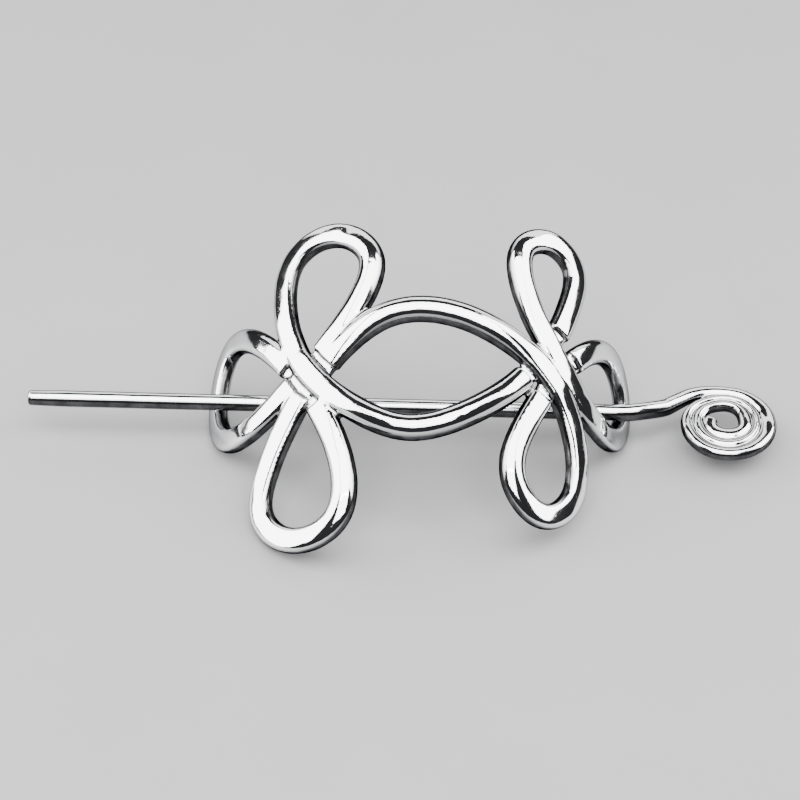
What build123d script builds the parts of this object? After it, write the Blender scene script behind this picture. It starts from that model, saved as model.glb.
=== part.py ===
from build123d import *
import math
import os

# Knot slide with a hair stick, both cast in white metal. Millimetres, +Z up.
# The slide stands on the floor as it would by itself: on both end loops and one front petal.
# The origin is on the floor, under the middle of the whole thing. +X runs along the stick
# to its spiral, and the front petals are towards -Y.

# Cast strand of the slide
STRAND_WIDTH = 4.6
STRAND_THICK = 2.8
STRAND_CROWN = 0.3
STRAND_EDGE = 0.75
STATION_STEP = 4.0

# Lowered pads, by which a strand passes under another one
PAD_WIDTH = 3.8
PAD_TOP_DROP = 0.75
PAD_BOTTOM_RISE = 0.45
PAD_EDGE = 0.4
PAD_REACH = 1.5
PAD_SEAT = 0.9

# Bow of the slide: its flat pattern (u along, v across) is bent over two arcs that meet at
# the crest, and a little over the other way
BOW_RADIUS_LEFT = 44.4
BOW_RADIUS_RIGHT = 35.4
CROSS_RADIUS = 208.0

# Where the crest stands, and how the slide leans on its front petals
CREST = (5.24, -6.6, 23.9)
LEAN = 28.86
TURN = -5.0
ROLL = 0.77

# Petals of the flat pattern, as ellipses: name, centre u, centre v, half width, half length,
# lean of the tip away from the centre line in degrees, side (-1 front, +1 back)
PETALS = [
    ("front_left", -23.6, -19.2, 9.5, 8.6, -10.0, -1),
    ("front_right", 23.1, -11.3, 7.4, 9.0, -2.3, -1),
    ("back_right", 21.6, 25.8, 6.8, 6.3, 5.9, 1),
    ("back_left", -22.4, 21.7, 9.8, 8.8, 3.6, 1),
]
PETAL_ARC_START = -32.0
PETAL_POINTS = 5

# End loops and eye of the flat pattern: name, then u and v of three points in the order in
# which the strand runs through them
BENDS = [
    ("left_loop", (-48.0, -2.7), (-49.6, 0.7), (-48.8, 10.3)),
    ("eye_back", (-17.8, 6.4), (-9.9, 12.9), (9.6, 12.2)),
    ("right_loop", (42.0, 13.3), (46.6, 5.0), (44.4, 1.3)),
    ("eye_front", (6.1, -4.9), (-3.3, -8.0), (-11.4, -5.6)),
]

# The one strand meets itself at eight crossings, so it passes sixteen times: o over, u under
PASSES = "uuouoouuoouuoouo"
SAMPLES = 900
NEAR = 2.0
PLACE_STEP = 0.0005

# Stick: round shaft with a blunt tapered tip, a gentle bend and a flat wound spiral
SHAFT_RADIUS = 1.5
TIP_RADIUS = 1.38
TIP_TAPER = 6.0
TIP_ROUND = 0.5
SHAFT_LENGTH = 107.9
STICK_TIP = (-68.44, 9.53, 6.93)
STICK_TURN = -1.89
STICK_DIP = 0.27
BEND_RADIUS = 16.1
BEND_ANGLE = 31.0
ROOT_ANGLE = 12.0
BEND_STEPS = 2
BEND_CROWN = 0.02
WIRE_THICK = 2.1
WIRE_CROWN = 0.15
WIRE_EDGE = 0.7
EDGE_FLAT = 0.05
SPIRAL_CENTRE = (127.8, -1.1)
SPIRAL_DROP = 1.0
SPIRAL_TILT = 3.0
SINK_LENGTH = 5.8
SPIRAL_STEP = 24.0
SPIRAL_SPLIT = 14
# Spiral, wound clockwise from the shaft: angle, radius of the wire's middle, wire width
SPIRAL = [
    (124.0, 9.15, 2.9),
    (90.0, 8.0, 2.5),
    (0.0, 7.75, 2.9),
    (-90.0, 7.9, 2.3),
    (-180.0, 7.3, 1.9),
    (-270.0, 6.0, 1.25),
    (-360.0, 5.5, 1.3),
    (-450.0, 5.7, 1.85),
    (-540.0, 5.3, 1.75),
    (-630.0, 4.5, 1.5),
    (-720.0, 3.6, 2.2),
    (-810.0, 3.3, 2.6),
    (-915.0, 3.15, 2.3),
]
# Web that closes the grooves between the turns
WEB_OUTER = 7.3
WEB_INNER = 4.1
WEB_THICK = 1.1


def petal_points(row):
    """Points of one petal, in the strand's order: front ones start inside, back ones outside."""
    name, centre_u, centre_v, half_width, half_length, lean, side = row
    turn = math.radians(-side * lean)
    sweep = 180.0 - 2.0 * PETAL_ARC_START
    points = []
    for step in range(PETAL_POINTS):
        angle = math.radians(PETAL_ARC_START + sweep * step / (PETAL_POINTS - 1))
        across = -side * half_width * math.cos(angle)
        along = side * half_length * math.sin(angle)
        u = centre_u + across * math.cos(turn) - along * math.sin(turn)
        v = centre_v + across * math.sin(turn) + along * math.cos(turn)
        points.append((u, v))
    return points


def flat_strand():
    """The closed centre line of the flat pattern, starting at the left end loop."""
    petals = {row[0]: petal_points(row) for row in PETALS}
    bends = {row[0]: list(row[1:]) for row in BENDS}
    order = (
        bends["left_loop"]
        + petals["front_left"]
        + bends["eye_back"]
        + petals["front_right"]
        + bends["right_loop"]
        + petals["back_right"]
        + bends["eye_front"]
        + petals["back_left"]
    )
    return Spline(*order, periodic=True)


def crossing_passes(line):
    """Each pass of the strand through a crossing: place along the strand and crossing angle."""
    places = [step / SAMPLES for step in range(SAMPLES + 1)]
    points = [line.position_at(place) for place in places]
    found = []
    for i in range(SAMPLES):
        p, along = points[i], points[i + 1] - points[i]
        for j in range(i + 2, SAMPLES):
            q, other = points[j], points[j + 1] - points[j]
            turn = along.X * other.Y - along.Y * other.X
            if abs(p.X - q.X) > NEAR or abs(p.Y - q.Y) > NEAR or turn == 0.0:
                continue
            gap = q - p
            first = (gap.X * other.Y - gap.Y * other.X) / turn
            second = (gap.X * along.Y - gap.Y * along.X) / turn
            if 0.0 <= first < 1.0 and 0.0 <= second < 1.0:
                angle = abs(math.asin(turn / (along.length * other.length)))
                found.append(((i + first) / SAMPLES, angle))
                found.append(((j + second) / SAMPLES, angle))
    return sorted(found)


def bow(u, v):
    """Point of the bowed pattern and its outward direction, both in the slide's own frame."""
    radius = BOW_RADIUS_LEFT if u < 0 else BOW_RADIUS_RIGHT
    slope = u / radius
    cross = v / CROSS_RADIUS
    sink = CROSS_RADIUS * (1.0 - math.cos(cross))
    point = Vector(
        (radius - sink) * math.sin(slope),
        CROSS_RADIUS * math.sin(cross),
        (radius - sink) * math.cos(slope) - radius,
    )
    out = Vector(
        math.sin(slope) * math.cos(cross),
        math.sin(cross),
        math.cos(slope) * math.cos(cross),
    )
    return point, out


def station(line, place):
    """Plane across the bowed strand: x across the strand, y outwards, z along it."""
    here = line.position_at(place % 1.0)
    ahead = line.position_at((place + PLACE_STEP) % 1.0)
    behind = line.position_at((place - PLACE_STEP) % 1.0)
    point, out = bow(here.X, here.Y)
    along = bow(ahead.X, ahead.Y)[0] - bow(behind.X, behind.Y)[0]
    return Plane(origin=point, x_dir=out.cross(along), z_dir=along)


def crowned_section(width, thick, crown, edge):
    """Flat-bottomed bar section with a slightly crowned top and four rounded edges."""
    half_width, half_thick = width / 2.0, thick / 2.0
    shoulder = half_thick - crown
    outline = Polyline(
        (half_width, shoulder), (half_width, -half_thick), (-half_width, -half_thick), (-half_width, shoulder)
    )
    top = ThreePointArc((-half_width, shoulder), (0, half_thick), (half_width, shoulder))
    face = make_face(outline + top)
    return fillet(face.vertices(), edge)


def lofted_run(line, start, end, section):
    """One run of the strand from place to place, lofted through evenly spaced sections."""
    length = (end - start) * line.length
    count = max(2, math.ceil(length / STATION_STEP))
    sections = []
    for step in range(count + 1):
        plane = station(line, start + (end - start) * step / count)
        sections.append(plane.location * section)
    return loft(sections)


def knot_slide():
    """The whole slide: full runs of strand, joined under the crossings by lowered pads."""
    line = flat_strand()
    passes = crossing_passes(line)
    if len(passes) != len(PASSES):
        raise ValueError(f"the pattern has {len(passes)} passes")
    full = crowned_section(STRAND_WIDTH, STRAND_THICK, STRAND_CROWN, STRAND_EDGE)
    pad_thick = STRAND_THICK - PAD_TOP_DROP - PAD_BOTTOM_RISE
    low = crowned_section(PAD_WIDTH, pad_thick, STRAND_CROWN, PAD_EDGE)
    low = Pos(0, (PAD_BOTTOM_RISE - PAD_TOP_DROP) / 2.0) * low
    reach = [(STRAND_WIDTH / 2.0 / math.sin(angle) + PAD_REACH) / line.length for place, angle in passes]
    seat = PAD_SEAT / line.length
    solids = []
    run_starts = []
    run_ends = []
    for index, (place, angle) in enumerate(passes):
        if PASSES[index] != "u":
            continue
        if PASSES[index - 1] != "u":
            run_ends.append(place - reach[index])
        if PASSES[(index + 1) % len(PASSES)] != "u":
            run_starts.append(place + reach[index])
    for index, start in enumerate(run_starts):
        last = index == len(run_starts) - 1
        end = run_ends[0] + 1.0 if last else run_ends[index + 1]
        solids.append(lofted_run(line, start, end, full))
    for start, end in zip(run_ends, run_starts):
        solids.append(lofted_run(line, start - seat, end + seat, low))
    slide = solids[0].fuse(*solids[1:])
    place = Pos(*CREST) * Rot(0, 0, TURN) * Rot(LEAN, 0, 0) * Rot(0, ROLL, 0)
    return place * slide


def shaft():
    """Round shaft along +X from its blunt tip."""
    profile = Polyline(
        (0, 0), (0, TIP_RADIUS), (TIP_TAPER, SHAFT_RADIUS), (SHAFT_LENGTH, SHAFT_RADIUS), (SHAFT_LENGTH, 0), close=True
    )
    face = make_face(profile)
    corner = face.vertices().sort_by_distance((0, TIP_RADIUS))[0]
    return revolve(fillet(corner, TIP_ROUND), Axis.X)


def bend_root():
    """First part of the bend, still round, inside and just past the right end loop."""
    section = Pos(SHAFT_LENGTH, 0, 0) * Rot(0, 90, 0) * Circle(SHAFT_RADIUS)
    return revolve(section, Axis((SHAFT_LENGTH, BEND_RADIUS, 0), (0, 0, 1)), ROOT_ANGLE)


def spiral_value(angle, column):
    """A column of the spiral's table at any angle, eased from row to row."""
    for first, second in zip(SPIRAL, SPIRAL[1:]):
        if first[0] >= angle >= second[0]:
            share = (first[0] - angle) / (first[0] - second[0])
            share = (1.0 - math.cos(math.pi * share)) / 2.0
            return first[column] + (second[column] - first[column]) * share
    raise ValueError(f"no row holds {angle} degrees")


def spiral_stations():
    """Bend and spiral in the stick's frame: x, y, and the section's four sizes at each."""
    rows = []
    for step in range(BEND_STEPS + 1):
        angle = math.radians(ROOT_ANGLE + (BEND_ANGLE - ROOT_ANGLE) * step / BEND_STEPS)
        x = SHAFT_LENGTH + BEND_RADIUS * math.sin(angle)
        y = BEND_RADIUS * (1.0 - math.cos(angle))
        rows.append((x, y, 2.0 * SHAFT_RADIUS, 2.0 * SHAFT_RADIUS, BEND_CROWN, SHAFT_RADIUS - EDGE_FLAT))
    count = math.ceil((SPIRAL[0][0] - SPIRAL[-1][0]) / SPIRAL_STEP)
    for step in range(count + 1):
        angle = SPIRAL[0][0] + (SPIRAL[-1][0] - SPIRAL[0][0]) * step / count
        radius = spiral_value(angle, 1)
        x = SPIRAL_CENTRE[0] + radius * math.cos(math.radians(angle))
        y = SPIRAL_CENTRE[1] + radius * math.sin(math.radians(angle))
        width = spiral_value(angle, 2)
        rows.append((x, y, width, WIRE_THICK, WIRE_CROWN, min(WIRE_EDGE, width / 2.0 - EDGE_FLAT)))
    return rows


def hair_stick():
    """Shaft, bend and spiral as one solid, laid in the slide."""
    rows = spiral_stations()
    tilt = math.tan(math.radians(SPIRAL_TILT))
    root_end = rows[0][0]
    points = []
    for x, y, *sizes in rows:
        fall = min(1.0, (x - root_end) / SINK_LENGTH)
        sink = -SPIRAL_DROP + (y - SPIRAL_CENTRE[1]) * tilt
        points.append(Vector(x, y, sink * fall * fall))
    start = Vector(1, 0, 0).rotate(Axis.Z, ROOT_ANGLE)
    wire = Spline(*points, tangents=[start, points[-1] - points[-2]])
    sections = []
    for point, (x, y, *sizes) in zip(points, rows):
        along = wire.tangent_at(wire.param_at_point(point))
        plane = Plane(origin=point, x_dir=Vector(0, 0, 1).cross(along), z_dir=along)
        sections.append(plane.location * crowned_section(*sizes))
    outer_turn = loft(sections[: SPIRAL_SPLIT + 1])
    inner_turns = loft(sections[SPIRAL_SPLIT:])
    ring = extrude(Circle(WEB_OUTER) - Circle(WEB_INNER), WEB_THICK / 2.0, both=True)
    web = Pos(*SPIRAL_CENTRE, -SPIRAL_DROP) * Rot(SPIRAL_TILT, 0, 0) * ring
    stick = shaft().fuse(bend_root(), outer_turn, inner_turns, web)
    return Pos(*STICK_TIP) * Rot(0, 0, STICK_TURN) * Rot(0, STICK_DIP, 0) * stick


os.makedirs("parts", exist_ok=True)
nodes = {"knot_slide": knot_slide(), "hair_stick": hair_stick()}
for name, solid in nodes.items():
    export_step(solid, f"parts/{name}.step")
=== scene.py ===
import bisect
import math

import bmesh
import bpy
from mathutils import Matrix, Vector, noise


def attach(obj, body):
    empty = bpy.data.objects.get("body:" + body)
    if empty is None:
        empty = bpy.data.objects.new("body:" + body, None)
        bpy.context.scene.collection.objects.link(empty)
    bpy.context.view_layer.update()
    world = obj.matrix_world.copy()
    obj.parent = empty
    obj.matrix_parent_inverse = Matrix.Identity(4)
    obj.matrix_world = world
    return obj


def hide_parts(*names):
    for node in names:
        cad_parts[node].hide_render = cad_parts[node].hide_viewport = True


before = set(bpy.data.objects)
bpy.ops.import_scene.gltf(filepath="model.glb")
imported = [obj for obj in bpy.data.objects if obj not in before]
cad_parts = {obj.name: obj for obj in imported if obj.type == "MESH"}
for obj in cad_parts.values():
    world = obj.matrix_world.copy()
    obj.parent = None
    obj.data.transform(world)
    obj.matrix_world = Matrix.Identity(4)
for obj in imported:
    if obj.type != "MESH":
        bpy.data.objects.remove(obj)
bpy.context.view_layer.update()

# Bright plated knot slide and its hair stick, on a pale surface. Sizes of the metal are in
# millimetres and degrees, and MM turns them into metres. The strand's pattern is drawn flat,
# with u along the slide and v across it, and then bowed.
MM = 0.001

# Cast strand of the slide: nearly flat on the petals and end loops
STRAND_WIDTH = 4.6
STRAND_THICK = 2.8
STRAND_CROWN = 0.2
STRAND_EDGE = 1.0

# Fuller, domed strand round the eye, and how far from the middle it flattens out
DOME_WIDTH = 4.8
DOME_THICK = 3.7
DOME_CROWN = 1.5
DOME_EDGE = 0.8
DOME_HALF_LENGTH = 11.0
DOME_FADE = 10.0

# Lowered pads, by which a strand passes under another one
PAD_WIDTH = 3.8
PAD_TOP_DROP = 0.75
PAD_BOTTOM_RISE = 0.45
PAD_EDGE = 0.4
PAD_REACH = 1.5
PAD_SEAT = 0.9

# How far strands rise over a crossing and sink under it, and how far to each side of it
WEAVE_LIFT = 0.3
WEAVE_REACH = 7.0

# Bow of the slide: over two arcs that meet at the crest, and a little over the other way
BOW_RADIUS_LEFT = 44.4
BOW_RADIUS_RIGHT = 35.4
CROSS_RADIUS = 208.0

# Where the crest stands, and how the slide leans on its front petal
CREST = (5.24, -6.6, 23.9)
LEAN = 28.86
TURN = -5.0
ROLL = 0.77

# Petals of the flat pattern: name, centre u, centre v, half width, half length, lean of the
# tip away from the centre line, side (-1 front, 1 back)
PETALS = [
    ("front_left", -23.6, -19.2, 9.5, 8.6, -10.0, -1),
    ("front_right", 23.1, -11.3, 7.4, 9.0, -2.3, -1),
    ("back_right", 21.6, 25.8, 6.8, 6.3, 5.9, 1),
    ("back_left", -22.4, 21.7, 9.8, 8.8, 3.6, 1),
]
PETAL_ARC_START = -32.0
PETAL_POINTS = 5

# End loops and eye of the flat pattern: name, then u and v of three points in the strand's
# order
BENDS = [
    ("left_loop", (-48.0, -2.7), (-49.6, 0.7), (-48.8, 10.3)),
    ("eye_back", (-17.8, 6.4), (-9.9, 12.9), (9.6, 12.2)),
    ("right_loop", (42.0, 13.3), (46.6, 5.0), (44.4, 1.3)),
    ("eye_front", (6.1, -4.9), (-3.3, -8.0), (-11.4, -5.6)),
]

# Passes of the strand through its crossings, in order: o over, u under
PASSES = "uuouoouuoouuoouo"

# Stick: round shaft with a blunt tapered tip, a gentle bend and a flat wound spiral
SHAFT_RADIUS = 1.5
TIP_RADIUS = 1.38
TIP_TAPER = 6.0
TIP_ROUND = 0.5
SHAFT_LENGTH = 107.9
STICK_TIP = (-68.44, 9.53, 6.93)
STICK_TURN = -1.89
STICK_DIP = 0.27
BEND_RADIUS = 16.1
BEND_ANGLE = 31.0
ROOT_ANGLE = 12.0
WIRE_THICK = 2.1
WIRE_CROWN = 0.4
WIRE_EDGE = 0.7
SPIRAL_CENTRE = (127.8, -1.1)
SPIRAL_DROP = 1.0
SPIRAL_TILT = 3.0
SINK_LENGTH = 5.8
# Spiral, wound clockwise from the shaft: angle, radius of the wire's middle, wire width
SPIRAL = [
    (124.0, 9.15, 2.9),
    (90.0, 8.0, 2.5),
    (0.0, 7.75, 2.9),
    (-90.0, 7.9, 2.3),
    (-180.0, 7.3, 1.9),
    (-270.0, 6.0, 1.25),
    (-360.0, 5.5, 1.3),
    (-450.0, 5.7, 1.85),
    (-540.0, 5.3, 1.75),
    (-630.0, 4.5, 1.5),
    (-720.0, 3.5, 2.5),
    (-810.0, 3.15, 2.9),
    (-915.0, 2.95, 2.7),
]
WEB_OUTER = 7.3
WEB_INNER = 4.1
WEB_THICK = 1.1

# How finely the lines are drawn: steps between rows of a table, rounds that even out a line's
# slopes, samples along the strand, the gap within which two of them are tried for a crossing,
# and the share of the strand's length that gives its direction
STRAND_SPAN_STEPS = 60
WIRE_SPAN_STEPS = 8
BEND_STEPS = 5
SPIRAL_STEPS = 44
SLOPE_ROUNDS = 40
CROSSING_SAMPLES = 700
CROSSING_NEAR = 2.0
PLACE_STEP = 0.0005

# How finely the metal is modelled
STATION_GAP = 0.45
ARC_STEPS = 6
FLAT_STEPS = 10
LATHE_STEPS = 64
WELD_GAP = 0.001
SLIDE_VOXEL = 0.3
STICK_VOXEL = 0.2
SETTLE_ROUNDS = 4
POLISH_ROUNDS = 3
SMOOTHING = 0.5

# Heights of the faint waves left by casting and winding, and their length
SLIDE_RIPPLE = 0.03
SHAFT_RIPPLE = 0.02
SPIRAL_RIPPLE = 0.07
RIPPLE_LENGTH = 3.0

# Where the painted shade and extra roughness of the flanks begin and are full, as the cosine from
# straight outward
FLANK_START = 0.8
FLANK_FULL = 0.45

# Past the flanks, where the painted shade on the underside lightens again, and how much of the flank's
# painted shade it keeps
UNDER_START = -0.3
UNDER_FULL = -0.8
UNDER_TONE = 0.4

# Sockets of a colour mix node
MIX_A = 6
MIX_B = 7
MIX_RESULT = 2

# Two tones of the surface under the piece
SURFACE_DARK = (0.24, 0.24, 0.243, 1.0)
SURFACE_LIGHT = (0.26, 0.26, 0.263, 1.0)

# Softboxes: name, width, depth, radiance in watts per square metre and steradian, place. All
# sizes are in metres, and all of them face AIM.
SOFTBOXES = [
    ("top_softbox", 0.62, 0.42, 9.0, (0.0, -0.09, 0.56)),
    ("left_softbox", 0.5, 0.62, 9.0, (-0.5, 0.05, 0.31)),
    ("right_softbox", 0.5, 0.5, 9.0, (0.47, 0.07, 0.38)),
    ("front_softbox", 0.6, 0.3, 9.0, (0.0, -0.4, 0.47)),
    ("back_softbox", 1.5, 0.3, 2.5, (0.0, 0.6, 0.4)),
]
AIM = (0.0, 0.0, 0.02)

# Tone of the dark room round them
STUDIO_TONE = (0.03, 0.03, 0.032, 1.0)

# Camera at the photo's viewing angle: focal length and place in millimetres, tilt in degrees
CAMERA_LENS = 132.41
CAMERA_PLACE = (-0.251, -398.14, 360.98)
CAMERA_TILT = 48.98


def clamp(value):
    """Keeps a value between nought and one."""
    return min(1.0, max(0.0, value))


def ease(share):
    """Share that starts and ends gently, between nought and one."""
    return share * share * (3.0 - 2.0 * share)


def smooth_line(points, closed, per_span):
    """Line through rows of numbers with no sudden bend, paced by the distance between rows."""
    rows = [Vector(row) for row in points]
    if closed:
        rows.append(rows[0].copy())
    gaps = [(b.xy - a.xy).length for a, b in zip(rows, rows[1:])]
    slopes = [(b - a) / gap for a, b, gap in zip(rows, rows[1:], gaps)]
    slopes.append(slopes[-1])
    if closed:
        slopes[0] = slopes[-1] = starting_slope(rows, gaps)
    for settle in range(SLOPE_ROUNDS):
        for index in range(1, len(gaps)):
            before, after = 1.0 / gaps[index - 1], 1.0 / gaps[index]
            pull = (rows[index] - rows[index - 1]) * before * before
            push = (rows[index + 1] - rows[index]) * after * after
            sides = slopes[index - 1] * before + slopes[index + 1] * after
            slopes[index] = ((pull + push) * 3.0 - sides) / (2.0 * (before + after))
    line = []
    for index, gap in enumerate(gaps):
        a, b = rows[index], rows[index + 1]
        for step in range(per_span):
            share = step / per_span
            leave = slopes[index] * share * (1.0 - share) ** 2 * gap
            arrive = slopes[index + 1] * share * share * (1.0 - share) * gap
            line.append(a + (b - a) * ease(share) + leave - arrive)
    line.append(rows[-1])
    return line


def starting_slope(rows, gaps):
    """Slope at the first row of the cubic through the first four."""
    places = [0.0, gaps[0], gaps[0] + gaps[1], gaps[0] + gaps[1] + gaps[2]]
    slope = rows[0] * sum(-1.0 / place for place in places[1:])
    for index in range(1, 4):
        weight = 1.0 / places[index]
        for other in range(1, 4):
            if other != index:
                weight *= places[other] / (places[other] - places[index])
        slope = slope + rows[index] * weight
    return slope


class PacedLine:
    """A dense line that gives its point at any share of its length."""

    def __init__(self, rows):
        self.rows = rows
        self.marks = [0.0]
        for a, b in zip(rows, rows[1:]):
            self.marks.append(self.marks[-1] + (b - a).length)
        self.length = self.marks[-1]

    def at(self, place):
        mark = place % 1.0 * self.length
        high = bisect.bisect_right(self.marks, mark, hi=len(self.marks) - 1)
        low = high - 1
        share = (mark - self.marks[low]) / (self.marks[high] - self.marks[low])
        return self.rows[low].lerp(self.rows[high], share)


def petal_points(row):
    """Points of one petal, in the strand's order: front ones start inside, back ones outside."""
    centre_u, centre_v, half_width, half_length, lean, side = row[1:]
    turn = math.radians(-side * lean)
    arc = 180.0 - 2.0 * PETAL_ARC_START
    points = []
    for step in range(PETAL_POINTS):
        angle = math.radians(PETAL_ARC_START + arc * step / (PETAL_POINTS - 1))
        across = -side * half_width * math.cos(angle)
        along = side * half_length * math.sin(angle)
        u = centre_u + across * math.cos(turn) - along * math.sin(turn)
        v = centre_v + across * math.sin(turn) + along * math.cos(turn)
        points.append((u, v))
    return points


def flat_strand():
    """The closed centre line of the flat pattern, starting at the left end loop."""
    petals = {row[0]: petal_points(row) for row in PETALS}
    bends = {row[0]: list(row[1:]) for row in BENDS}
    order = bends["left_loop"] + petals["front_left"]
    order += bends["eye_back"] + petals["front_right"]
    order += bends["right_loop"] + petals["back_right"]
    order += bends["eye_front"] + petals["back_left"]
    return PacedLine(smooth_line(order, closed=True, per_span=STRAND_SPAN_STEPS))


def crossing_passes(line):
    """Each pass of the strand through a crossing: place along the strand and crossing angle."""
    samples = CROSSING_SAMPLES
    points = [line.at(step / samples) for step in range(samples)]
    points.append(points[0])
    found = []
    for i in range(samples):
        here, along = points[i], points[i + 1] - points[i]
        for j in range(i + 2, samples):
            gap = points[j] - here
            if abs(gap.x) > CROSSING_NEAR or abs(gap.y) > CROSSING_NEAR:
                continue
            other = points[j + 1] - points[j]
            turn = along.cross(other)
            if abs(turn) < 1e-9:
                continue
            first, second = gap.cross(other) / turn, gap.cross(along) / turn
            if 0.0 <= first < 1.0 and 0.0 <= second < 1.0:
                angle = abs(math.asin(turn / (along.length * other.length)))
                found.append(((i + first) / samples, angle))
                found.append(((j + second) / samples, angle))
    return sorted(found)


def bow_radius(u):
    """Radius of the bow on the side of the crest where u lies."""
    return BOW_RADIUS_LEFT if u < 0 else BOW_RADIUS_RIGHT


def bow_outward(slope, cross):
    """Outward direction of the bow, after it has turned along and across by these angles."""
    along, up = math.sin(slope), math.cos(slope)
    return Vector((along * math.cos(cross), math.sin(cross), up * math.cos(cross)))


def bow(u, v):
    """Point of the bowed pattern and its outward direction, both in the slide's own frame."""
    radius = bow_radius(u)
    slope = u / radius
    cross = v / CROSS_RADIUS
    reach = radius - CROSS_RADIUS * (1.0 - math.cos(cross))
    x, z = reach * math.sin(slope), reach * math.cos(slope) - radius
    return Vector((x, CROSS_RADIUS * math.sin(cross), z)), bow_outward(slope, cross)


def section_place(point, out, along):
    """Place of one section: x across the piece, y outwards, z along it."""
    z = along.normalized()
    x = out.cross(z).normalized()
    turn = Matrix((x, z.cross(x), z)).transposed().to_4x4()
    return Matrix.Translation(point) @ turn


def strand_place(line, place):
    """Section place at a share of the bowed strand's length."""
    point, out = bow(*line.at(place))
    ahead, behind = bow(*line.at(place + PLACE_STEP))[0], bow(*line.at(place - PLACE_STEP))[0]
    return section_place(point, out, ahead - behind)


def bar_outline(width, thick, crown, edge):
    """Outline of a flat-bottomed bar with four rounded edges and a crowned top."""
    half_width = width / 2.0
    left, right = edge - half_width, half_width - edge
    low, high = edge - thick / 2.0, thick / 2.0 - crown - edge
    corners = [Vector((x, y, 0.0)) for x, y in ((left, low), (right, low), (right, high), (left, high))]
    outline = []
    for index, corner in enumerate(corners):
        for step in range(ARC_STEPS + 1):
            angle = math.radians(180.0 + 90.0 * (index + step / ARC_STEPS))
            outline.append(corner + Vector((math.cos(angle), math.sin(angle), 0.0)) * edge)
        flat = corners[(index + 1) % 4] - corner
        start = outline[-1]
        outline += [start + flat * step / FLAT_STEPS for step in range(1, FLAT_STEPS)]
    for point in outline:
        if point.y > high:
            point.y += crown * max(0.0, 1.0 - (point.x / half_width) ** 2)
    return outline


def join_in(bm, part):
    """Adds a finished part to the mesh that is being gathered."""
    mesh = bpy.data.meshes.new("part")
    part.to_mesh(mesh)
    part.free()
    bm.from_mesh(mesh)
    bpy.data.meshes.remove(mesh)


def sweep(bm, outlines, places):
    """Extrudes an outline through a row of places, with both ends closed."""
    bar = bmesh.new()
    face = bar.faces.new([bar.verts.new(places[0] @ point) for point in outlines[0]])
    for outline, place in zip(outlines[1:], places[1:]):
        grown = bmesh.ops.extrude_face_region(bar, geom=[face])["geom"]
        face = next(part for part in grown if isinstance(part, bmesh.types.BMFace))
        for vert, point in zip(face.verts, outline):
            vert.co = place @ point
    bmesh.ops.recalc_face_normals(bar, faces=bar.faces)
    join_in(bm, bar)


def weave_lift(line, passes, share):
    """How far the strand stands out of the bow or sinks into it, close to its crossings."""
    lift = 0.0
    for index, (place, angle) in enumerate(passes):
        gap = abs((share - place + 0.5) % 1.0 - 0.5) * line.length
        side = 1.0 if PASSES[index] == "o" else -1.0
        lift += side * WEAVE_LIFT * ease(clamp(1.0 - gap / WEAVE_REACH))
    return min(WEAVE_LIFT, max(-WEAVE_LIFT, lift))


def strand_run(bm, line, passes, start, end, flat, domed):
    """One run of the strand between two places along it, domed round the eye."""
    count = max(4, math.ceil((end - start) * line.length / STATION_GAP))
    shares = [start + (end - start) * step / count for step in range(count + 1)]
    outlines = []
    for share in shares:
        far = ease(clamp((abs(line.at(share).x) - DOME_HALF_LENGTH) / DOME_FADE))
        lift = Vector((0.0, weave_lift(line, passes, share), 0.0))
        outlines.append([crowned.lerp(level, far) + lift for crowned, level in zip(domed, flat)])
    sweep(bm, outlines, [strand_place(line, share) for share in shares])


def knot_bars(bm):
    """Full runs of strand, joined under the crossings by lowered pads."""
    line = flat_strand()
    passes = crossing_passes(line)
    full = bar_outline(STRAND_WIDTH, STRAND_THICK, STRAND_CROWN, STRAND_EDGE)
    domed = bar_outline(DOME_WIDTH, DOME_THICK, DOME_CROWN, DOME_EDGE)
    for point in domed:
        point.y += (DOME_THICK - STRAND_THICK) / 2.0
    pad_thick = STRAND_THICK - PAD_TOP_DROP - PAD_BOTTOM_RISE
    pad = bar_outline(PAD_WIDTH, pad_thick, STRAND_CROWN, PAD_EDGE)
    for point in pad:
        point.y += (PAD_BOTTOM_RISE - PAD_TOP_DROP) / 2.0
    seat = PAD_SEAT / line.length
    run_starts, run_ends = [], []
    for index, (place, angle) in enumerate(passes):
        if PASSES[index] != "u":
            continue
        reach = (STRAND_WIDTH / 2.0 / math.sin(angle) + PAD_REACH) / line.length
        if PASSES[index - 1] != "u":
            run_ends.append(place - reach)
        if PASSES[(index + 1) % len(PASSES)] != "u":
            run_starts.append(place + reach)
    for start, end in zip(run_starts, run_ends[1:] + [run_ends[0] + 1.0]):
        strand_run(bm, line, passes, start, end, full, domed)
    for start, end in zip(run_ends, run_starts):
        strand_run(bm, line, passes, start - seat, end + seat, pad, pad)


def spiral_value(angle, column):
    """A column of the spiral's table at any angle, eased from row to row."""
    for first, second in zip(SPIRAL, SPIRAL[1:]):
        if first[0] >= angle >= second[0]:
            share = (first[0] - angle) / (first[0] - second[0])
            share = (1.0 - math.cos(math.pi * share)) / 2.0
            return first[column] + (second[column] - first[column]) * share
    raise ValueError(f"no row holds {angle} degrees")


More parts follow.
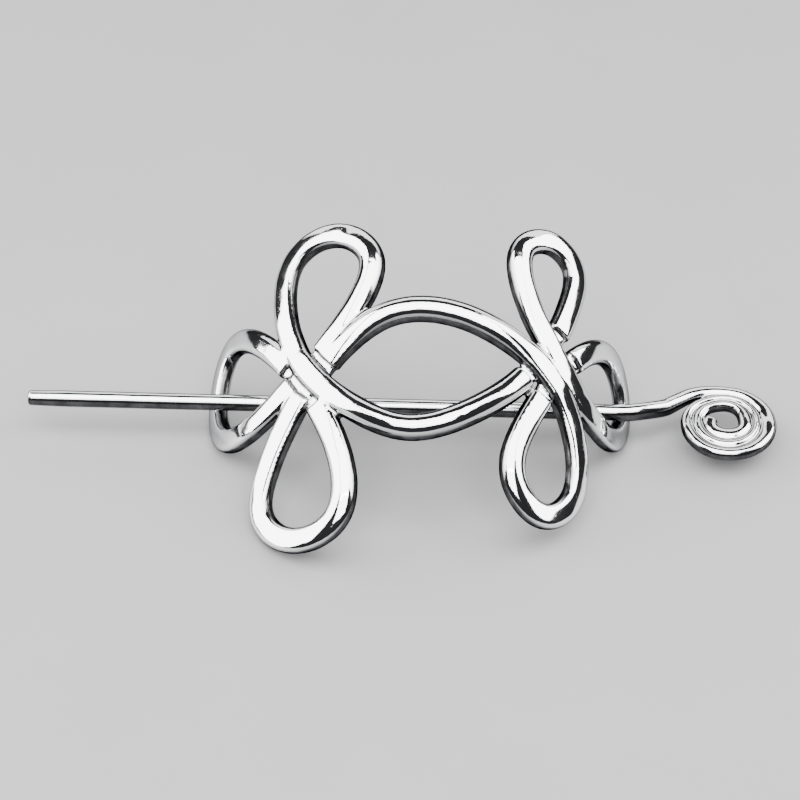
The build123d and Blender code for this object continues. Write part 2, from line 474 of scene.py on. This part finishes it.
def wire_rows():
    """Bend and spiral in the stick's frame: x, y, width and thickness at each point."""
    rows = []
    for step in range(BEND_STEPS + 1):
        angle = math.radians(BEND_ANGLE * step / BEND_STEPS)
        x = SHAFT_LENGTH + BEND_RADIUS * math.sin(angle)
        y = BEND_RADIUS * (1.0 - math.cos(angle))
        rows.append((x, y, 2.0 * SHAFT_RADIUS, 2.0 * SHAFT_RADIUS))
    for step in range(SPIRAL_STEPS + 1):
        angle = SPIRAL[0][0] + (SPIRAL[-1][0] - SPIRAL[0][0]) * step / SPIRAL_STEPS
        radius = spiral_value(angle, 1)
        x = SPIRAL_CENTRE[0] + radius * math.cos(math.radians(angle))
        y = SPIRAL_CENTRE[1] + radius * math.sin(math.radians(angle))
        rows.append((x, y, spiral_value(angle, 2), WIRE_THICK))
    return rows


def wire_places():
    """Section places along the bend and the spiral, scaled to the wire's width and thickness."""
    tilt = math.tan(math.radians(SPIRAL_TILT))
    root_end = SHAFT_LENGTH + BEND_RADIUS * math.sin(math.radians(ROOT_ANGLE))
    line = smooth_line(wire_rows(), closed=False, per_span=WIRE_SPAN_STEPS)
    points = []
    for x, y, width, thick in line:
        fall = clamp((x - root_end) / SINK_LENGTH)
        sink = -SPIRAL_DROP + (y - SPIRAL_CENTRE[1]) * tilt
        points.append(Vector((x, y, sink * fall * fall)))
    places = []
    for index, row in enumerate(line):
        along = points[min(index + 1, len(points) - 1)] - points[max(index - 1, 0)]
        place = section_place(points[index], Vector((0.0, 0.0, 1.0)), along)
        places.append(place @ Matrix.Diagonal((row[2], row[3], 1.0, 1.0)))
    return places


def lathe(bm, profile, axis, place):
    """Spins a profile once round an axis of its own frame, and puts it in its place."""
    turned = bmesh.new()
    verts = [turned.verts.new(point) for point in profile]
    edges = [turned.edges.new(pair) for pair in zip(verts, verts[1:])]
    profile_line = verts + edges
    bmesh.ops.spin(
        turned, geom=profile_line, axis=axis, angle=math.tau, steps=LATHE_STEPS, use_merge=True
    )
    bmesh.ops.remove_doubles(turned, verts=turned.verts, dist=WELD_GAP)
    bmesh.ops.recalc_face_normals(turned, faces=turned.faces)
    bmesh.ops.transform(turned, matrix=place, verts=turned.verts)
    join_in(bm, turned)


def stick_bars(bm):
    """Turned shaft, wire swept through the bend and the spiral, and the web between turns."""
    profile = [Vector((0.0, 0.0, 0.0))]
    for step in range(ARC_STEPS + 1):
        angle = math.radians(90.0 * step / ARC_STEPS)
        x = TIP_ROUND * (1.0 - math.cos(angle))
        profile.append(Vector((x, TIP_RADIUS - TIP_ROUND * (1.0 - math.sin(angle)), 0.0)))
    profile.append(Vector((TIP_TAPER, SHAFT_RADIUS, 0.0)))
    profile.append(Vector((SHAFT_LENGTH, SHAFT_RADIUS, 0.0)))
    profile.append(Vector((SHAFT_LENGTH, 0.0, 0.0)))
    lathe(bm, profile, Vector((1.0, 0.0, 0.0)), Matrix())
    places = wire_places()
    wire = bar_outline(1.0, 1.0, WIRE_CROWN / WIRE_THICK, WIRE_EDGE / WIRE_THICK)
    sweep(bm, [wire] * len(places), places)
    low, high = -WEB_THICK / 2.0, WEB_THICK / 2.0
    ring = [(WEB_INNER, low), (WEB_OUTER, low), (WEB_OUTER, high), (WEB_INNER, high), (WEB_INNER, low)]
    place = Matrix.Translation((*SPIRAL_CENTRE, -SPIRAL_DROP))
    place = place @ Matrix.Rotation(math.radians(SPIRAL_TILT), 4, "X")
    lathe(bm, [Vector((radius, 0.0, z)) for radius, z in ring], Vector((0.0, 0.0, 1.0)), place)


def slide_outward(point):
    """Outward direction of the bow at a point of the slide, in the slide's own frame."""
    slope = math.atan2(point.x, point.z + bow_radius(point.x))
    return bow_outward(slope, point.y / CROSS_RADIUS)


def stick_outward(point):
    """Outward direction of the stick: up, all along it, so its underside takes the painted flank shade.
    """
    return Vector((0.0, 0.0, 1.0))


def slide_ripple(point):
    """Height of the casting's waves at a point of the slide."""
    return SLIDE_RIPPLE


def stick_ripple(point):
    """Height of the waves along the stick: faint on the shaft, stronger on the hand-wound spiral."""
    share = clamp((point.x - SHAFT_LENGTH) / BEND_RADIUS)
    return SHAFT_RIPPLE + (SPIRAL_RIPPLE - SHAFT_RIPPLE) * share


def painted_flank_shade(facing):
    """Share of the flank's painted shade, from the cosine between a face and straight outward."""
    tone = clamp((FLANK_START - facing) / (FLANK_START - FLANK_FULL))
    under = clamp((UNDER_START - facing) / (UNDER_START - UNDER_FULL))
    return tone * (1.0 - (1.0 - UNDER_TONE) * under)


def linked_object(name, data):
    """Object at the origin that shows a mesh, a light or a camera."""
    shown = bpy.data.objects.new(name, data)
    bpy.context.scene.collection.objects.link(shown)
    return shown


def fused(name, bars, voxel):
    """Overlapping bars fused into one closed skin, in the piece's own frame."""
    bm = bmesh.new()
    bars(bm)
    raw = bpy.data.meshes.new(name + "_bars")
    bm.to_mesh(raw)
    bm.free()
    pattern = linked_object(name + "_pattern", raw)
    piece = linked_object(name, raw)
    fuse = piece.modifiers.new("fuse", "REMESH")
    fuse.mode = "VOXEL"
    fuse.voxel_size = voxel
    settle = piece.modifiers.new("settle", "SMOOTH")
    settle.factor, settle.iterations = SMOOTHING, SETTLE_ROUNDS
    true_up = piece.modifiers.new("true_up", "SHRINKWRAP")
    true_up.target = pattern
    polish = piece.modifiers.new("polish", "SMOOTH")
    polish.factor, polish.iterations = SMOOTHING, POLISH_ROUNDS
    bpy.context.view_layer.update()
    solid = piece.evaluated_get(bpy.context.evaluated_depsgraph_get())
    skin = bpy.data.meshes.new_from_object(solid)
    piece.modifiers.clear()
    piece.data = skin
    bpy.data.objects.remove(pattern)
    bpy.data.meshes.remove(raw)
    return piece


def cast(name, bars, voxel, ripple, outward, place):
    """Casts bars into one piece of metal, marks its flanks for painted shade, and puts it in its place.
    """
    piece = fused(name, bars, voxel)
    bm = bmesh.new()
    bm.from_mesh(piece.data)
    # Painted shade: flanks and underside are marked here to be darkened in the base colour by their
    # facing
    flank_shade = bm.verts.layers.float.new("flank_shade")
    for vert in bm.verts:
        vert[flank_shade] = painted_flank_shade(vert.normal.dot(outward(vert.co)))
    for vert in bm.verts:
        vert.co += vert.normal * ripple(vert.co) * noise.noise(vert.co / RIPPLE_LENGTH)
    bmesh.ops.transform(bm, matrix=Matrix.Scale(MM, 4) @ place, verts=bm.verts)
    for face in bm.faces:
        face.smooth = True
    bm.to_mesh(piece.data)
    bm.free()
    return piece


def turned_place(origin, *turns):
    """Place at an origin, after turns given as degrees and axis, the outermost first."""
    place = Matrix.Translation(origin)
    for angle, axis in turns:
        place = place @ Matrix.Rotation(math.radians(angle), 4, axis)
    return place


slide_seat = turned_place(CREST, (TURN, "Z"), (LEAN, "X"), (ROLL, "Y"))
slide = cast("slide_casting", knot_bars, SLIDE_VOXEL, slide_ripple, slide_outward, slide_seat)
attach(slide, "slide")
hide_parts("knot_slide")

stick_seat = turned_place(STICK_TIP, (STICK_TURN, "Z"), (STICK_DIP, "Y"))
stick = cast("stick_casting", stick_bars, STICK_VOXEL, stick_ripple, stick_outward, stick_seat)
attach(stick, "stick")
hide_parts("hair_stick")


def node_group(name, inputs, outputs):
    """Empty shader group with its named sockets, each given as name, kind and default."""
    group = bpy.data.node_groups.new(name, "ShaderNodeTree")
    for label, kind, default in inputs:
        socket = group.interface.new_socket(label, in_out="INPUT", socket_type=kind)
        if default is not None:
            socket.default_value = default
    for label, kind in outputs:
        group.interface.new_socket(label, in_out="OUTPUT", socket_type=kind)
    return group, group.nodes.new("NodeGroupInput"), group.nodes.new("NodeGroupOutput")


def add(tree, kind, **settings):
    """Adds a node; settings with a capital letter are input values, the others are its options."""
    node = tree.nodes.new(kind)
    for key, value in settings.items():
        if key[0].isupper():
            node.inputs[key.replace("_", " ")].default_value = value
        else:
            setattr(node, key, value)
    return node


def remap(tree, source, low, high, to_low, to_high):
    """Maps a value from one range to another, and keeps it inside."""
    node = add(tree, "ShaderNodeMapRange", From_Min=low, From_Max=high, To_Min=to_low, To_Max=to_high)
    tree.links.new(source, node.inputs["Value"])
    return node.outputs["Result"]


def polish_group():
    """Faint wipe marks and cloudy patches of a polished plating, as one roughness value."""
    group, given, made = node_group(
        "polish_marks",
        [
            ("Vector", "NodeSocketVector", None),
            ("Shine", "NodeSocketFloat", 0.06),
            ("Dull", "NodeSocketFloat", 0.14),
            ("Flank", "NodeSocketFloat", 0.0),
            ("Flank Haze", "NodeSocketFloat", 0.12),
        ],
        [("Roughness", "NodeSocketFloat")],
    )
    link = group.links.new
    clouds = add(group, "ShaderNodeTexNoise", Scale=160.0, Detail=4.0, Roughness=0.6)
    wipes = add(group, "ShaderNodeMapping")
    wipes.inputs["Scale"].default_value = (300.0, 2600.0, 1200.0)
    hairs = add(group, "ShaderNodeTexNoise", Scale=1.0, Detail=2.0)
    link(given.outputs["Vector"], clouds.inputs["Vector"])
    link(given.outputs["Vector"], wipes.inputs["Vector"])
    link(wipes.outputs["Vector"], hairs.inputs["Vector"])
    mixed = add(group, "ShaderNodeMath", operation="MULTIPLY")
    link(remap(group, clouds.outputs["Fac"], 0.35, 0.7, 0.0, 1.0), mixed.inputs[0])
    link(remap(group, hairs.outputs["Fac"], 0.3, 0.7, 0.4, 1.0), mixed.inputs[1])
    spread = add(group, "ShaderNodeMapRange")
    link(mixed.outputs["Value"], spread.inputs["Value"])
    link(given.outputs["Shine"], spread.inputs["To Min"])
    link(given.outputs["Dull"], spread.inputs["To Max"])
    haze = add(group, "ShaderNodeMath", operation="MULTIPLY_ADD")
    link(given.outputs["Flank"], haze.inputs[0])
    link(given.outputs["Flank Haze"], haze.inputs[1])
    link(spread.outputs["Result"], haze.inputs[2])
    link(haze.outputs["Value"], made.inputs["Roughness"])
    return group


def casting_group():
    """Height of a cast and tumbled surface: slow waves and a few fine pits."""
    group, given, made = node_group(
        "cast_skin",
        [
            ("Vector", "NodeSocketVector", None),
            ("Waves", "NodeSocketFloat", 1.0),
            ("Pits", "NodeSocketFloat", 0.2),
        ],
        [("Height", "NodeSocketFloat")],
    )
    link = group.links.new
    waves = add(group, "ShaderNodeTexNoise", Scale=320.0, Detail=1.5, Roughness=0.4)
    pits = add(group, "ShaderNodeTexVoronoi", Scale=900.0)
    link(given.outputs["Vector"], waves.inputs["Vector"])
    link(given.outputs["Vector"], pits.inputs["Vector"])
    wave_part = add(group, "ShaderNodeMath", operation="MULTIPLY")
    link(waves.outputs["Fac"], wave_part.inputs[0])
    link(given.outputs["Waves"], wave_part.inputs[1])
    pit_part = add(group, "ShaderNodeMath", operation="MULTIPLY")
    link(remap(group, pits.outputs["Distance"], 0.02, 0.14, -1.0, 0.0), pit_part.inputs[0])
    link(given.outputs["Pits"], pit_part.inputs[1])
    height = add(group, "ShaderNodeMath", operation="ADD")
    link(wave_part.outputs["Value"], height.inputs[0])
    link(pit_part.outputs["Value"], height.inputs[1])
    link(height.outputs["Value"], made.inputs["Height"])
    return group


def plate_tone_group():
    """Colour of white metal plating: bright on the faces, with painted shade on the flanks, and darker
    in concave creases.
    """
    group, given, made = node_group(
        "plate_tone",
        [
            ("Vector", "NodeSocketVector", None),
            ("Flank", "NodeSocketFloat", 0.0),
            ("Bright", "NodeSocketColor", (0.88, 0.885, 0.89, 1.0)),
            ("Flank Shade", "NodeSocketColor", (0.03, 0.03, 0.032, 1.0)),
            ("Crease", "NodeSocketColor", (0.03, 0.03, 0.032, 1.0)),
        ],
        [("Color", "NodeSocketColor")],
    )
    link = group.links.new
    # Noise that breaks up the painted flank shade and the crease darkening
    shade_noise = add(group, "ShaderNodeTexNoise", Scale=450.0, Detail=5.0, Roughness=0.65)
    link(given.outputs["Vector"], shade_noise.inputs["Vector"])
    ragged = remap(group, shade_noise.outputs["Fac"], 0.3, 0.7, 0.9, 1.0)
    # Painted shade: the flanks turn towards the near-black flank shade colour
    flank_shade = add(group, "ShaderNodeMath", operation="MULTIPLY")
    link(given.outputs["Flank"], flank_shade.inputs[0])
    link(ragged, flank_shade.inputs[1])
    faces = add(group, "ShaderNodeMix", data_type="RGBA")
    link(flank_shade.outputs["Value"], faces.inputs["Factor"])
    link(given.outputs["Bright"], faces.inputs[MIX_A])
    link(given.outputs["Flank Shade"], faces.inputs[MIX_B])
    # Darker in concave creases, by the mesh's pointiness
    shape = add(group, "ShaderNodeNewGeometry")
    crease = add(group, "ShaderNodeMath", operation="MULTIPLY")
    link(remap(group, shape.outputs["Pointiness"], 0.445, 0.492, 1.0, 0.0), crease.inputs[0])
    link(ragged, crease.inputs[1])
    tone = add(group, "ShaderNodeMix", data_type="RGBA")
    link(crease.outputs["Value"], tone.inputs["Factor"])
    link(faces.outputs[MIX_RESULT], tone.inputs[MIX_A])
    link(given.outputs["Crease"], tone.inputs[MIX_B])
    link(tone.outputs[MIX_RESULT], made.inputs["Color"])
    return group


def place_group(tree, group, vector, **values):
    """Places a shared group in a material, fed with the piece's own coordinates."""
    node = tree.nodes.new("ShaderNodeGroup")
    node.node_tree = group
    tree.links.new(vector, node.inputs["Vector"])
    for key, value in values.items():
        node.inputs[key].default_value = value
    return node


polish_marks = polish_group()
cast_skin = casting_group()
plate_tone = plate_tone_group()


def plated_metal(name, bright, shine, dull, waves, pits, relief):
    """Bright plated casting, with polish marks, cast waves, painted shade on the flanks and underside,
    and darker creases.
    """
    material = bpy.data.materials.new(name)
    material.use_nodes = True
    tree = material.node_tree
    shader = tree.nodes["Principled BSDF"]
    shader.inputs["Metallic"].default_value = 1.0
    shader.inputs["Specular Tint"].default_value = (0.25, 0.25, 0.26, 1.0)
    where = tree.nodes.new("ShaderNodeTexCoord").outputs["Object"]
    tone = place_group(tree, plate_tone, where, Bright=(*bright, 1.0))
    flank_shade = add(tree, "ShaderNodeAttribute", attribute_name="flank_shade")
    tree.links.new(flank_shade.outputs["Fac"], tone.inputs["Flank"])
    marks = place_group(tree, polish_marks, where, Shine=shine, Dull=dull)
    tree.links.new(flank_shade.outputs["Fac"], marks.inputs["Flank"])
    skin = place_group(tree, cast_skin, where, Waves=waves, Pits=pits)
    bump = add(tree, "ShaderNodeBump", Strength=1.0, Distance=relief * MM)
    tree.links.new(tone.outputs["Color"], shader.inputs["Base Color"])
    tree.links.new(marks.outputs["Roughness"], shader.inputs["Roughness"])
    tree.links.new(skin.outputs["Height"], bump.inputs["Height"])
    tree.links.new(bump.outputs["Normal"], shader.inputs["Normal"])
    return material


slide_plate = plated_metal(
    "slide_plate", (0.86, 0.865, 0.875), shine=0.05, dull=0.12, waves=1.0, pits=0.15, relief=0.04
)
stick_plate = plated_metal(
    "stick_plate", (0.85, 0.855, 0.865), shine=0.06, dull=0.13, waves=0.6, pits=0.1, relief=0.03
)
slide.data.materials.append(slide_plate)
stick.data.materials.append(stick_plate)


def pale_surface(side):
    """Pale matt surface under the piece."""
    bm = bmesh.new()
    bmesh.ops.create_grid(bm, x_segments=1, y_segments=1, size=side / 2.0)
    mesh = bpy.data.meshes.new("pale_surface")
    bm.to_mesh(mesh)
    bm.free()
    floor = linked_object("pale_surface", mesh)
    material = bpy.data.materials.new("pale_board")
    material.use_nodes = True
    tree = material.node_tree
    shader = tree.nodes["Principled BSDF"]
    shader.inputs["Roughness"].default_value = 0.55
    where = tree.nodes.new("ShaderNodeTexCoord").outputs["Object"]
    grain = add(tree, "ShaderNodeTexNoise", Scale=40.0, Detail=6.0)
    tone = add(tree, "ShaderNodeMix", data_type="RGBA")
    tone.inputs[MIX_A].default_value = SURFACE_DARK
    tone.inputs[MIX_B].default_value = SURFACE_LIGHT
    tree.links.new(where, grain.inputs["Vector"])
    tree.links.new(grain.outputs["Fac"], tone.inputs["Factor"])
    tree.links.new(tone.outputs[MIX_RESULT], shader.inputs["Base Color"])
    mesh.materials.append(material)
    return floor


pale_surface(3.0)


def softbox(name, width, depth, radiance, place):
    """Plain rectangular softbox that faces the piece."""
    light = bpy.data.lights.new(name, "AREA")
    light.shape = "RECTANGLE"
    light.size = width
    light.size_y = depth
    light.energy = radiance * width * depth * math.pi
    lamp = linked_object(name, light)
    lamp.location = place
    lamp.rotation_euler = (Vector(AIM) - Vector(place)).to_track_quat("-Z", "Y").to_euler()


for row in SOFTBOXES:
    softbox(*row)

world = bpy.data.worlds.new("studio")
world.use_nodes = True
world.node_tree.nodes["Background"].inputs["Color"].default_value = STUDIO_TONE
bpy.context.scene.world = world

camera = linked_object("camera", bpy.data.cameras.new("camera"))
camera.data.lens = CAMERA_LENS
camera.location = Vector(CAMERA_PLACE) * MM
camera.rotation_euler = (math.radians(CAMERA_TILT), 0.0, 0.0)
bpy.context.scene.camera = camera
